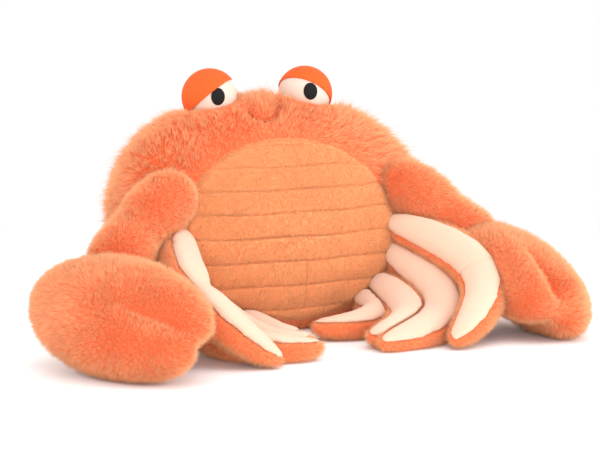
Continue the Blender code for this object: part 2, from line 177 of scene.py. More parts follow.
def sunk(piece, rounds):
    """How far each point lies below the surface about it, which is much in a crease."""
    shape = bmesh.new()
    shape.from_mesh(piece.data)
    rounder = new_piece("rounder", shape)
    smooth = rounder.modifiers.new("Round off", "SMOOTH")
    smooth.factor = 0.5
    smooth.iterations = rounds
    bake_modifiers(rounder)
    depth = ((places(rounder) - places(piece)) * directions(piece)).sum(1)
    bpy.data.objects.remove(rounder)
    return depth


# %% [markdown]
# ## Stuffing
# Fibre presses a sewn piece outwards, and the fabric's own stiffness holds it back. A short cloth
# simulation does that: pressure inside, no gravity, and a cap on how far a point may go, so that
# neighbours keep their room. Moving every point out by the same amount would be quicker, but it
# fattens a tight bend as much as a flat place.


# %% Stuffed by simulation
def stuffed(piece, pressure, cap, frames=20):
    """Lets pressure plump a closed piece, and keeps the result as its mesh."""
    before = places(piece)
    cloth = piece.modifiers.new("Stuffing", "CLOTH")
    settings = cloth.settings
    settings.quality = 4
    settings.mass = 0.15
    settings.tension_stiffness = settings.compression_stiffness = 12.0
    settings.bending_stiffness = 0.3
    settings.use_pressure = True
    settings.uniform_pressure_force = pressure
    settings.effector_weights.gravity = 0.0
    cloth.point_cache.frame_start = 1
    cloth.point_cache.frame_end = frames
    for step in range(1, frames + 1):
        bpy.context.scene.frame_set(step)
    bake_modifiers(piece)
    bpy.context.scene.frame_set(1)
    move = places(piece) - before
    size = np.linalg.norm(move, axis=1, keepdims=True)
    move *= cap * np.tanh(size / cap) / np.maximum(size, 1e-9)
    put(piece, before + move)
    moved = np.linalg.norm(move, axis=1)
    print(piece.name, "moved by stuffing, mean mm:", round(float(moved.mean()) * 1000, 2))
    return piece


# %% [markdown]
# ## One strand of pile
# Each hair is a three-sided spike with one bend in it. It stands on its root, one unit high and
# one unit thick, and it leans towards its own X. A map named pile holds how far along the hair
# each point is, so that a hair can be dark at its root and pale at its tip. Hair curves are the
# usual way to make fur in Blender. Here a hair is a small mesh, because the toy leaves as meshes.


# %% The strand
# How much a hair bulges halfway up, and how wide its map is across
HAIR_BELLY = 1.2
MAP_WIDTH = 0.03


def make_strand(name, rings):
    """A hair with a ring of points at each of the given heights, so that it can bend there."""
    shape = bmesh.new()
    bmesh.ops.create_cone(
        shape,
        cap_ends=False,
        segments=3,
        radius1=0.5,
        radius2=0.0,
        depth=1.0,
        matrix=Matrix.Translation((0.0, 0.0, 0.5)),
    )
    bmesh.ops.remove_doubles(shape, verts=shape.verts, dist=1e-4)
    for height in rings:
        geometry = shape.verts[:] + shape.edges[:] + shape.faces[:]
        bmesh.ops.bisect_plane(shape, geom=geometry, plane_co=(0, 0, height), plane_no=(0, 0, 1))
    for point in shape.verts:
        height = point.co.z
        belly = 1.0 + HAIR_BELLY * height * (1.0 - height)
        point.co = (point.co.x * belly, point.co.y * belly, height)
    pile = shape.loops.layers.uv.new("pile")
    for face in shape.faces:
        for corner in face.loops:
            corner[pile].uv = (0.5 + MAP_WIDTH * corner.vert.co.x, corner.vert.co.z)
    strand = new_piece(name, shape)
    strand.hide_render = True
    strand.hide_viewport = True
    return strand


long_strand = make_strand("strand_long", (0.45,))
short_strand = make_strand("strand_short", ())
print("faces of a hair:", len(long_strand.data.polygons), len(short_strand.data.polygons))

# %% [markdown]
# ## Growing the pile
# Pile is scattered with Geometry Nodes, as it would be by hand in the editor: points on the
# backing, one strand on each point, turned, scaled and made real. Three things steer it. A comb
# direction, painted on the backing, says which way the nap lies. Small cells pull the tips in
# each cell together, which makes tufts. A little chance keeps it from looking machined. A bump
# in the material would be far lighter, but the toy's outline would stay bald.


# %% The node group that grows pile
HAIR_FLOOR_GAP = 0.0004
PATCHES_PER_METRE = 45.0


def link(group, *pairs):
    """Joins sockets, each pair from an output to an input."""
    for source, target in pairs:
        group.links.new(source, target)


def make_pile_group():
    """The node group that turns a painted backing into real hairs."""
    group = bpy.data.node_groups.new("Grow pile", "GeometryNodeTree")
    sockets = (
        ("Backing", "NodeSocketGeometry", None),
        ("Strand", "NodeSocketObject", None),
        ("Per Square Metre", "NodeSocketFloat", 500000.0),
        ("Length", "NodeSocketFloat", 0.009),
        ("Width", "NodeSocketFloat", 0.0005),
        ("Lean", "NodeSocketFloat", 0.5),
        ("Tuft Size", "NodeSocketFloat", 0.006),
        ("Tuft Pull", "NodeSocketFloat", 0.5),
        ("Tuft Chance", "NodeSocketFloat", 0.3),
        ("Stray", "NodeSocketFloat", 0.2),
        ("Bend", "NodeSocketFloat", 0.3),
        ("Seed", "NodeSocketInt", 1),
    )
    for name, kind, value in sockets:
        socket = group.interface.new_socket(name, in_out="INPUT", socket_type=kind)
        if value is not None:
            socket.default_value = value
    group.interface.new_socket("Pile", in_out="OUTPUT", socket_type="NodeSocketGeometry")
    add = group.nodes.new
    given = add("NodeGroupInput").outputs

    def named(name, kind="FLOAT"):
        node = add("GeometryNodeInputNamedAttribute")
        node.data_type = kind
        node.inputs["Name"].default_value = name
        return node.outputs["Attribute"]

    def feed(sockets, values):
        for socket, value in zip(sockets, values):
            if isinstance(value, bpy.types.NodeSocket):
                group.links.new(value, socket)
            else:
                socket.default_value = value

    def vector(operation, *values):
        node = add("ShaderNodeVectorMath")
        node.operation = operation
        feed([s for s in node.inputs if s.enabled and not s.is_unavailable], values)
        return node.outputs[0]

    def number(operation, *values):
        node = add("ShaderNodeMath")
        node.operation = operation
        feed(node.inputs, values)
        return node.outputs[0]

    def chance(kind, low, high, offset):
        node = add("FunctionNodeRandomValue")
        node.data_type = kind
        ends = [s for s in node.inputs if s.name in ("Min", "Max") and s.enabled]
        ends[0].default_value = low
        ends[1].default_value = high
        link(group, (number("ADD", given["Seed"], offset), node.inputs["Seed"]))
        return next(s for s in node.outputs if s.enabled)

    # Where the hairs stand, and the small cells that make tufts
    scatter = add("GeometryNodeDistributePointsOnFaces")
    crowd = number("MULTIPLY", given["Per Square Metre"], named("pile_density"))
    link(
        group,
        (given["Backing"], scatter.inputs["Mesh"]),
        (crowd, scatter.inputs["Density"]),
        (given["Seed"], scatter.inputs["Seed"]),
    )
    place = add("GeometryNodeInputPosition").outputs[0]
    cells = add("ShaderNodeTexVoronoi")
    cells.inputs["Randomness"].default_value = 1.0
    link(
        group,
        (place, cells.inputs["Vector"]),
        (number("DIVIDE", 1.0, given["Tuft Size"]), cells.inputs["Scale"]),
    )
    inwards = vector("SUBTRACT", cells.outputs["Position"], place)
    pull = number("DIVIDE", given["Tuft Pull"], given["Tuft Size"])

    def scaled(value, amount):
        node = add("ShaderNodeVectorMath")
        node.operation = "SCALE"
        feed((node.inputs[0], node.inputs["Scale"]), (value, amount))
        return node.outputs[0]

    # Which way each hair stands, and which way it is turned to bend
    comb = named("pile_flow", "FLOAT_VECTOR")
    stray = chance("FLOAT_VECTOR", (-1.0, -1.0, -1.0), (1.0, 1.0, 1.0), 11)
    way = vector("ADD", scatter.outputs["Normal"], scaled(comb, given["Lean"]))
    way = vector("ADD", way, scaled(inwards, pull))
    way = vector("NORMALIZE", vector("ADD", way, scaled(stray, given["Stray"])))

    stand = add("FunctionNodeAlignRotationToVector")
    stand.axis = "Z"
    turn = add("FunctionNodeAlignRotationToVector")
    turn.axis = "X"
    turn.pivot_axis = "Z"
    bend_way = vector("ADD", comb, scaled(stray, 0.6))
    link(
        group,
        (way, stand.inputs["Vector"]),
        (stand.outputs[0], turn.inputs["Rotation"]),
        (bend_way, turn.inputs["Vector"]),
    )
    # How long and how thick each hair is
    tuft = add("FunctionNodeSeparateColor")
    link(group, (cells.outputs["Color"], tuft.inputs[0]))
    shortest = number("MULTIPLY_ADD", given["Tuft Chance"], -0.5, 1.0)
    tuft_share = number("MULTIPLY_ADD", tuft.outputs[1], given["Tuft Chance"], shortest)
    tall = number("MULTIPLY", given["Length"], named("pile_length"))
    tall = number("MULTIPLY", tall, chance("FLOAT", 0.65, 1.15, 23))
    tall = number("MULTIPLY", tall, tuft_share)
    wide = number("MULTIPLY", given["Width"], chance("FLOAT", 0.7, 1.3, 31))
    size = add("ShaderNodeCombineXYZ")
    link(group, (wide, size.inputs[0]), (wide, size.inputs[1]), (tall, size.inputs[2]))

    # How light each hair is: by patch, by tuft and by chance
    patches = add("ShaderNodeTexNoise")
    patches.inputs["Scale"].default_value = PATCHES_PER_METRE
    patches.inputs["Detail"].default_value = 2.0
    link(group, (place, patches.inputs["Vector"]))
    shade = number("MULTIPLY", patches.outputs[0], 0.9)
    shade = number("ADD", shade, number("MULTIPLY", tuft.outputs[0], 0.2))
    shade = number("ADD", shade, number("MULTIPLY", chance("FLOAT", 0.0, 1.0, 47), 0.3))
    shade = number("SUBTRACT", shade, 0.2)
    mark = add("GeometryNodeStoreNamedAttribute")
    mark.data_type = "FLOAT"
    mark.inputs["Name"].default_value = "pile_shade"
    strand = add("GeometryNodeObjectInfo")
    grow = add("GeometryNodeInstanceOnPoints")
    real = add("GeometryNodeRealizeInstances")
    link(
        group,
        (scatter.outputs["Points"], mark.inputs["Geometry"]),
        (shade, mark.inputs["Value"]),
        (mark.outputs[0], grow.inputs["Points"]),
        (given["Strand"], strand.inputs["Object"]),
        (strand.outputs["Geometry"], grow.inputs["Instance"]),
        (turn.outputs[0], grow.inputs["Rotation"]),
        (size.outputs[0], grow.inputs["Scale"]),
        (grow.outputs[0], real.inputs[0]),
    )
    # Each hair is bent once it is real, by the square of the height that its map holds
    old_map = named("pile", "FLOAT_VECTOR")
    parts = add("ShaderNodeSeparateXYZ")
    link(group, (old_map, parts.inputs[0]))
    corner_shade = number("ADD", named("pile_shade"), number("SUBTRACT", parts.outputs[0], 0.5))
    corner_shade = number("MINIMUM", number("MAXIMUM", corner_shade, 0.01), 0.99)
    new_map = add("ShaderNodeCombineXYZ")
    link(
        group,
        (corner_shade, new_map.inputs[0]),
        (parts.outputs[1], new_map.inputs[1]),
    )
    full_length = number("MULTIPLY", given["Length"], named("pile_length"))
    bend_by = number("MULTIPLY", number("POWER", parts.outputs[1], 2.0), given["Bend"])
    bend_by = number("MULTIPLY", bend_by, full_length)
    comb_now = named("pile_flow", "FLOAT_VECTOR")
    bow = add("GeometryNodeSetPosition")
    link(
        group,
        (real.outputs[0], bow.inputs["Geometry"]),
        (scaled(comb_now, bend_by), bow.inputs["Offset"]),
    )
    # No hair goes below the floor
    split = add("ShaderNodeSeparateXYZ")
    link(group, (place, split.inputs[0]))
    lifted = add("ShaderNodeCombineXYZ")
    link(
        group,
        (split.outputs[0], lifted.inputs[0]),
        (split.outputs[1], lifted.inputs[1]),
        (number("MAXIMUM", split.outputs[2], HAIR_FLOOR_GAP), lifted.inputs[2]),
    )
    floor_stop = add("GeometryNodeSetPosition")
    link(
        group,
        (bow.outputs[0], floor_stop.inputs["Geometry"]),
        (lifted.outputs[0], floor_stop.inputs["Position"]),
    )
    keep = add("GeometryNodeStoreNamedAttribute")
    keep.data_type = "FLOAT2"
    keep.domain = "CORNER"
    keep.inputs["Name"].default_value = "pile"
    out = add("NodeGroupOutput")
    link(
        group,
        (floor_stop.outputs[0], keep.inputs["Geometry"]),
        (new_map.outputs[0], keep.inputs["Value"]),
        (keep.outputs[0], out.inputs[0]),
    )
    return group


pile_group = make_pile_group()
print("nodes that grow pile:", len(pile_group.nodes))


def paint(piece, flow, length, density):
    """Writes the comb direction, the hair length and the density on the backing's points."""
    mesh = piece.data
    count = len(mesh.vertices)
    for name, kind, values in (
        ("pile_flow", "FLOAT_VECTOR", flow),
        ("pile_length", "FLOAT", length),
        ("pile_density", "FLOAT", density),
    ):
        layer = mesh.attributes.get(name) or mesh.attributes.new(name, kind, "POINT")
        key = "vector" if kind == "FLOAT_VECTOR" else "value"
        values = np.broadcast_to(values, (count, 3) if key == "vector" else (count,))
        layer.data.foreach_set(key, np.ascontiguousarray(values, np.float32).ravel())


def grow_pile(name, backing, strand, material, **settings):
    """Pile on a painted backing, as one real mesh."""
    shape = bmesh.new()
    shape.from_mesh(backing.data)
    pile = new_piece(name, shape)
    grower = pile.modifiers.new("Grow pile", "NODES")
    grower.node_group = pile_group
    wanted = {"Strand": strand, **settings}
    for item in pile_group.interface.items_tree:
        if item.in_out == "INPUT" and item.name in wanted:
            grower[item.identifier] = wanted[item.name]
    bake_modifiers(pile)
    for spare in ("pile_flow", "pile_length", "pile_density", "pile_shade"):
        layer = pile.data.attributes.get(spare)
        if layer:
            pile.data.attributes.remove(layer)
    pile.data.materials.clear()
    pile.data.materials.append(material)
    pile.data.calc_loop_triangles()
    print(name, "triangles:", len(pile.data.loop_triangles))
    return pile


# %% [markdown]
# ## Fabrics
# Plush reads as plush through two things: hairs that are redder at the root than at the tip, and
# a soft pale edge wherever the surface turns away, which sheen gives. The paler tips are partly
# the fur's own colour and partly a painted rim glow, since an edge shows mostly tips. A picture
# could hold the hairs' colours, but every pile here has the same build. So one shared group turns
# the map named pile into a colour, and each fabric gives it three colours of its own.


# %% The group that colours pile
def make_pile_colour():
    """Root, middle and tip colours along a hair, with each hair a little lighter or darker."""
    group = bpy.data.node_groups.new("Pile colour", "ShaderNodeTree")
    for name in ("Root", "Middle", "Tip"):
        group.interface.new_socket(name, in_out="INPUT", socket_type="NodeSocketColor")
    spread = group.interface.new_socket("Spread", in_out="INPUT", socket_type="NodeSocketFloat")
    spread.default_value = 0.3
    group.interface.new_socket("Color", in_out="OUTPUT", socket_type="NodeSocketColor")
    add = group.nodes.new
    given = add("NodeGroupInput").outputs
    hair = add("ShaderNodeUVMap")
    hair.uv_map = "pile"
    parts = add("ShaderNodeSeparateXYZ")
    lower = add("ShaderNodeMix")
    upper = add("ShaderNodeMix")
    for mix in (lower, upper):
        mix.data_type = "RGBA"
    low_share = add("ShaderNodeMapRange")
    low_share.inputs["From Max"].default_value = 0.55
    high_share = add("ShaderNodeMapRange")
    high_share.inputs["From Min"].default_value = 0.45
    tint = add("ShaderNodeHueSaturation")
    light = add("ShaderNodeMath")
    light.operation = "MULTIPLY_ADD"
    base = add("ShaderNodeMath")
    base.operation = "MULTIPLY_ADD"
    base.inputs[1].default_value = -0.5
    base.inputs[2].default_value = 1.0
    out = add("NodeGroupOutput")
    link(
        group,
        (hair.outputs[0], parts.inputs[0]),
        (parts.outputs[1], low_share.inputs["Value"]),
        (parts.outputs[1], high_share.inputs["Value"]),
        (low_share.outputs[0], lower.inputs[0]),
        (given["Root"], lower.inputs[6]),
        (given["Middle"], lower.inputs[7]),
        (high_share.outputs[0], upper.inputs[0]),
        (lower.outputs[2], upper.inputs[6]),
        (given["Tip"], upper.inputs[7]),
        (upper.outputs[2], tint.inputs["Color"]),
        (given["Spread"], base.inputs[0]),
        (parts.outputs[0], light.inputs[0]),
        (given["Spread"], light.inputs[1]),
        (base.outputs[0], light.inputs[2]),
        (light.outputs[0], tint.inputs["Value"]),
        (tint.outputs[0], out.inputs[0]),
    )
    return group


pile_colour = make_pile_colour()
print("nodes that colour pile:", len(pile_colour.nodes))


def material(name, colour, roughness=0.9, sheen=0.0, sheen_tint=(1.0, 1.0, 1.0)):
    """A named fabric with its even values on the shader itself."""
    made = bpy.data.materials.new(name)
    made.use_nodes = True
    shader = made.node_tree.nodes["Principled BSDF"]
    shader.inputs["Base Color"].default_value = (*colour, 1.0)
    shader.inputs["Roughness"].default_value = roughness
    shader.inputs["Specular IOR Level"].default_value = 0.2
    shader.inputs["Sheen Weight"].default_value = sheen
    shader.inputs["Sheen Roughness"].default_value = 0.5
    shader.inputs["Sheen Tint"].default_value = (*sheen_tint, 1.0)
    return made


def pile_material(name, root, middle, tip, spread=0.3, sheen=0.25):
    """A pile fabric: the shared colour group feeds the shader."""
    made = material(name, middle, 0.75, sheen, tip)
    nodes = made.node_tree.nodes
    colour = nodes.new("ShaderNodeGroup")
    colour.node_tree = pile_colour
    for socket, value in (("Root", root), ("Middle", middle), ("Tip", tip)):
        colour.inputs[socket].default_value = (*value, 1.0)
    colour.inputs["Spread"].default_value = spread
    made.node_tree.links.new(
        colour.outputs["Color"], nodes["Principled BSDF"].inputs["Base Color"]
    )
    return made


def grain(made, scale, depth, detail=4.0, tone=None, tone_scale=None):
    """Fabric grain: a bump from noise on the piece's own coordinates, and patches of a tone."""
    tree = made.node_tree
    where = tree.nodes.new("ShaderNodeTexCoord")
    noise = tree.nodes.new("ShaderNodeTexNoise")
    noise.inputs["Scale"].default_value = scale
    noise.inputs["Detail"].default_value = detail
    bump = tree.nodes.new("ShaderNodeBump")
    bump.inputs["Strength"].default_value = 1.0
    bump.inputs["Distance"].default_value = depth
    shader = tree.nodes["Principled BSDF"]
    link(
        tree,
        (where.outputs["Object"], noise.inputs["Vector"]),
        (noise.outputs[0], bump.inputs["Height"]),
        (bump.outputs[0], shader.inputs["Normal"]),
    )
    if tone:
        patches = tree.nodes.new("ShaderNodeTexNoise")
        patches.inputs["Scale"].default_value = tone_scale
        mix = tree.nodes.new("ShaderNodeMix")
        mix.data_type = "RGBA"
        mix.inputs[6].default_value = shader.inputs["Base Color"].default_value
        mix.inputs[7].default_value = (*tone, 1.0)
        link(
            tree,
            (where.outputs["Object"], patches.inputs["Vector"]),
            (patches.outputs[0], mix.inputs[0]),
            (mix.outputs[2], shader.inputs["Base Color"]),
        )
    return made


# %% The fabrics of this toy
# Each pile's tip colour is partly the fur's own and partly a painted rim glow: lighter than the
# root, so that edges, which show mostly tips, read pale.
CORAL_ROOT = (0.90, 0.19, 0.066)
CORAL = (0.95, 0.36, 0.16)
CORAL_TIP_AND_RIM_GLOW = (0.97, 0.50, 0.265)
# The leg fleece is lighter than the body's coral: painted light that lifts the shade among the
# legs.
FLEECE_ROOT_LIT = (0.98, 0.30, 0.115)
FLEECE_MIDDLE_LIT = (0.98, 0.43, 0.20)
PEACH_ROOT = (0.80, 0.25, 0.09)
PEACH = (0.92, 0.45, 0.205)
PEACH_TIP_AND_RIM_GLOW = (0.93, 0.52, 0.27)
CREAM = (0.755, 0.507, 0.375)
CREAM_SHADE = (0.725, 0.472, 0.345)
EYE_WHITE = (0.66, 0.53, 0.445)
LID_ORANGE = (0.72, 0.10, 0.018)
PUPIL_BLACK = (0.008, 0.007, 0.007)
# The smile's dark red-brown is partly the thread's own colour and partly painted shade of the
# crease.
MOUTH_THREAD_AND_SHADE = (0.52, 0.08, 0.022)

coral_pile = pile_material("coral pile", CORAL_ROOT, CORAL, CORAL_TIP_AND_RIM_GLOW, 0.35)
coral_fleece = pile_material("coral fleece", FLEECE_ROOT_LIT, FLEECE_MIDDLE_LIT, CORAL_TIP_AND_RIM_GLOW, 0.25)
peach_pile = pile_material("peach pile", PEACH_ROOT, PEACH, PEACH_TIP_AND_RIM_GLOW, 0.3, 0.15)
coral_backing = grain(material("coral backing", CORAL_ROOT), 900.0, 0.0006)
peach_cord = grain(material("peach cord", PEACH, 0.9), 1400.0, 0.0005, 3.0, PEACH_ROOT, 300.0)
cream_suede = grain(
    material("cream suede", CREAM, 0.85, 0.2), 1600.0, 0.0001, 3.0, CREAM_SHADE, 30.0
)
eye_felt = grain(material("eye felt", EYE_WHITE, 0.9), 1500.0, 0.0001)
lid_felt = grain(material("lid felt", LID_ORANGE, 0.9), 1500.0, 0.00012)
pupil_thread = material("pupil thread", PUPIL_BLACK, 0.8)
mouth_thread_and_shade = material("mouth thread and shade", MOUTH_THREAD_AND_SHADE, 0.8)
print("fabrics:", len(bpy.data.materials))

# %% [markdown]
# ## The body
# The real body is a bag of long pile with fibre inside. It could be sculpted from a ball, but the
# solids have its outline already, so its form is the merged solids, rounded. The smile is a crease
# that is sewn through the pile, so the form is pulled in along it, with a slight lip above.

# %% The body's form
BELLY_MIDDLE_HEIGHT = 0.0755
BELLY_HALF = (0.087, 0.067)
BODY_VOXEL = 0.003
BODY_ROUNDS = 12
mouth_low, mouth_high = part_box("mouth_stitch")
body_nodes = ["body_cover", "body_filling", "belly_panel"]
body = soft_form("body_skin", body_nodes, BODY_VOXEL, BODY_ROUNDS)
body_tree = BVHTree.FromObject(body, bpy.context.evaluated_depsgraph_get())


def front_of_body(x, z):
    """The body's front at a place seen from the front, and the outward direction there."""
    hit, normal, _, _ = body_tree.ray_cast(Vector((x, -0.3, z)), Vector((0, 1, 0)))
    return hit, normal


smile_middle = (mouth_low + mouth_high) / 2.0
SMILE_HALF = (mouth_high.x - mouth_low.x) / 2.0
SMILE_SAG = 0.0085
SMILE_TILT = 0.20
SMILE_TOP = 0.164
SMILE_DEPTH = 0.0045
SMILE_WIDTH = 0.0035
LIP_RISE = 0.006
LIP_WIDTH = 0.009
LIP_PROUD = 0.0015
BELLY_SINK = 0.0025
smile_share = np.linspace(-1.0, 1.0, 21)
smile_line = np.array(
    [
        front_of_body(
            smile_middle.x + s * SMILE_HALF,
            SMILE_TOP - SMILE_SAG * (1.0 - abs(s) ** 3) + SMILE_TILT * s * SMILE_HALF,
        )[0]
        for s in smile_share
    ]
)
eye_middles = {}
for side in SIDES:
    low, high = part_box(f"eye_{side}")
    radius = (high.x - low.x) / 2.0
    eye_middles[side] = ((low + high) / 2.0, radius)
    eye_middles[side][0].z = high.z - radius

points, normals = places(body), directions(body)
in_oval = np.hypot(
    points[:, 0] / BELLY_HALF[0], (points[:, 2] - BELLY_MIDDLE_HEIGHT) / BELLY_HALF[1]
)
on_front = normals[:, 1] < -0.2
belly_share = np.where(on_front, 1.0 - ramp(in_oval, 0.94, 1.02), 0.0)
smile_gap = line_distance(points, smile_line)
lip = np.array(smile_middle) + np.array([0.0, 0.0, LIP_RISE])
lip_bump = bell(np.linalg.norm(points - lip, axis=1), LIP_WIDTH)
in_smile = bell(smile_gap, SMILE_WIDTH)
push = LIP_PROUD * lip_bump - BELLY_SINK * belly_share - SMILE_DEPTH * in_smile
points = above_floor(points + normals * push[:, None])
put(body, points)
body.data.materials.append(coral_backing)
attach(body, "root")
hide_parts("body_cover", "body_filling")
print("body points:", len(points))

# %% [markdown]
# The nap runs down from the crown and outwards from the belly, and it parts at the smile and
# under the eyes. No hair grows under the belly panel, inside the eyes or on the flat underside.
# A dense coat of straight hairs lies under a thin coat of longer, bent ones. The coat is grown
# in three parts, front, left and right, so that no mesh gets too heavy.

# %% The body's pile
SWIRLS_PER_METRE = 110.0


def swirls(points):
    """A slow wander of the nap, as fingers leave it."""
    x, y, z = (points * SWIRLS_PER_METRE).T
    across = np.sin(z + 1.3 * np.sin(y))
    inwards = np.sin(x + 1.1 * np.sin(z) + 2.0)
    upwards = np.sin(y + x * 0.7 + 4.0)
    return np.stack([across, inwards, upwards], axis=1)


normals = directions(body)
down = np.array([0.0, 0.0, -1.0])
away = np.stack(
    [points[:, 0] * 1.2, np.zeros(len(points)), points[:, 2] - BELLY_MIDDLE_HEIGHT], axis=1
)
flow = laid_flat(unit(away) * 0.6 + down * 0.5 + 0.45 * swirls(points), normals)
stitch_gaps = np.linalg.norm(points[:, None] - smile_line[None], axis=2)
from_smile = unit(points - smile_line[np.argmin(stitch_gaps, axis=1)])
flow = laid_flat(flow + 0.8 * bell(smile_gap, 2.0 * SMILE_WIDTH)[:, None] * from_smile, normals)
eye_gap = np.full(len(points), 1.0)
for middle, radius in eye_middles.values():
    eye_gap = np.minimum(eye_gap, np.linalg.norm(points - np.array(middle), axis=1) - radius)
density = (1.0 - ramp(belly_share, 0.3, 0.6)) * ramp(eye_gap, -0.001, 0.0005)
density *= ramp(points[:, 2], 0.0015, 0.004)
length = (1.0 - 0.8 * in_smile) * (0.5 + 0.5 * ramp(in_oval, 1.0, 1.25))
length *= 0.3 + 0.7 * ramp(eye_gap, 0.001, 0.015)
to_back = ramp(points[:, 1], -0.012, 0.0)
to_right = ramp(points[:, 0], -0.006, 0.006)
BODY_PARTS = {
    "front": 1.0 - to_back,
    "left": to_back * (1.0 - to_right),
    "right": to_back * to_right,
}
UNDERCOAT = {
    "Per Square Metre": 1250000.0,
    "Length": 0.0085,
    "Width": 0.00042,
    "Lean": 0.5,
    "Tuft Size": 0.0055,
    "Tuft Pull": 0.5,
    "Tuft Chance": 0.45,
    "Stray": 0.3,
    "Bend": 0.0,
}
TOPCOAT = {
    "Per Square Metre": 160000.0,
    "Length": 0.0118,
    "Width": 0.0004,
    "Lean": 0.6,
    "Tuft Size": 0.0055,
    "Tuft Pull": 0.55,
    "Tuft Chance": 0.5,
    "Stray": 0.45,
    "Bend": 0.45,
}
for number, (part, share) in enumerate(BODY_PARTS.items()):
    paint(body, flow, length, density * share)
    for coat, strand, settings in (
        ("undercoat", short_strand, UNDERCOAT),
        ("topcoat", long_strand, TOPCOAT),
    ):
        coat_settings = dict(settings, Seed=3 + number)
        pile = grow_pile(f"body_{coat}_{part}", body, strand, coral_pile, **coat_settings)
        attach(pile, "root")

# %% [markdown]
# ## Arms and claws
# The same cloth with a shorter, denser nap. On a claw it lies outwards from the middle of the
# mitten, and on an arm it runs towards the claw. The folds of a real limb are pulled tight by
# thread. They could be cut in with a plane, but then they would have edges. Here what lies below
# the surface about it is sunk further, and its hairs are shorter and fewer. The fewer hairs let
# the darker backing show, which paints shade into the folds.


# %% Arms and claws
LIMB_VOXEL = 0.0025
CLAW_ROUNDS = 4
ARM_ROUNDS = 6
CREASE_ROUNDS = 40
CREASE_PULL = 1.6
SHALLOW_CREASE = 0.0001
DEEP_CREASE = 0.0010
LIMB_PILE = {
    "Per Square Metre": 2300000.0,
    "Length": 0.0058,
    "Width": 0.00036,
    "Lean": 0.55,
    "Tuft Size": 0.004,
    "Tuft Pull": 0.3,
    "Tuft Chance": 0.35,
    "Stray": 0.32,
    "Bend": 0.0,
}


def nap_outwards(points, normals):
    """From the middle of the piece to its rim, with a slow wander."""
    return laid_flat(unit(points - points.mean(0)) + 0.5 * swirls(points), normals)


def nap_to(target):
    """A comb that runs towards one place."""

    def comb(points, normals):
        return laid_flat(unit(np.array(target) - points), normals)

    return comb


def furred(node, rounds, comb, seed):
    """A stuffed limb with its pile: the backing replaces the solid, the pile rides with it."""
    skin = soft_form(f"{node}_skin", [node], LIMB_VOXEL, rounds)
    crease = sunk(skin, CREASE_ROUNDS)
    points = places(skin) - directions(skin) * CREASE_PULL * np.maximum(crease, 0.0)[:, None]
    points = above_floor(points)
    put(skin, points)
    folded_and_shaded = ramp(crease, SHALLOW_CREASE, DEEP_CREASE)
    # Fewer hairs in a fold let the darker backing show there: painted shade.
    density = ramp(points[:, 2], 0.001, 0.003) * (1.0 - 0.35 * folded_and_shaded)
    paint(skin, comb(points, directions(skin)), 1.0 - 0.5 * folded_and_shaded, density)
    print(node, "deepest crease, mm:", round(float(crease.max()) * 1000, 2))
    skin.data.materials.append(coral_backing)
    settings = dict(LIMB_PILE, Seed=seed)
    pile = grow_pile(f"{node}_pile", skin, short_strand, coral_pile, **settings)
    for piece in (skin, pile):
        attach(piece, "root")
    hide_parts(node)


for side, sign in SIDES.items():
    furred(f"claw_{side}", CLAW_ROUNDS, nap_outwards, 20 + int(sign))
    low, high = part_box(f"claw_{side}")
    furred(f"arm_{side}", ARM_ROUNDS, nap_to((low + high) / 2.0), 30 + int(sign))

# %% [markdown]
# ## Legs
# Each leg is sewn from two strips: a brushed cream front without pile, and a coral back with a
# short fleece. No pile hides the cream, so it is the strip that is plumped by the simulation, and
# it is subdivided once so that no facet shows. At the knee of the top leg on each side thread pulls
# the strip narrower. That could be part of the solid, but it is finer than a solid should hold, so
# points near the knee are drawn in towards the leg's own line.


# %% Legs
# For the two top legs: where the knee is, the leg's heading there, and how much narrower it is
KNEES = {
    ("right", 1): ((0.112, -0.132, 0.050), (-0.14, -0.87, -0.47), 0.03),
    ("left", 1): ((-0.107, -0.1286, 0.051), (0.15, -0.88, -0.46), 0.36),
}
KNEE_STITCH_DEPTH = 0.0013
KNEE_STITCH_WIDTH = 0.0011
KNEE_LENGTH = 0.011
KNEE_REACH = 0.04
LEG_VOXEL = 0.0016
LEG_ROUNDS = 8
LOWER_CREAM_SHRINK = 0.0004
CREAM_PRESSURE = 3.0
CREAM_CAP = 0.0006
LEGS_ON_A_SIDE = 4
FLEECE = {
    "Per Square Metre": 1600000.0,
    "Length": 0.0048,
    "Width": 0.0004,
    "Lean": 0.15,
    "Tuft Size": 0.003,
    "Tuft Pull": 0.12,
    "Tuft Chance": 0.15,
    "Stray": 0.5,
    "Bend": 0.1,
}


def sew_knee(piece, knee, heading, pinch, stitch):
    """Draws a strip in towards the leg's line at the knee, and sews a line across it."""
    along = unit(np.array(heading))
    offset = places(piece) - np.array(knee)
    gap = offset @ along
    across = offset - gap[:, None] * along
    near = bell(np.linalg.norm(offset, axis=1), KNEE_REACH)
    narrower = pinch * bell(gap, KNEE_LENGTH) * near
    sewn = stitch * bell(gap, KNEE_STITCH_WIDTH) * near
    points = places(piece) - across * narrower[:, None]
    put(piece, points - directions(piece) * sewn[:, None])


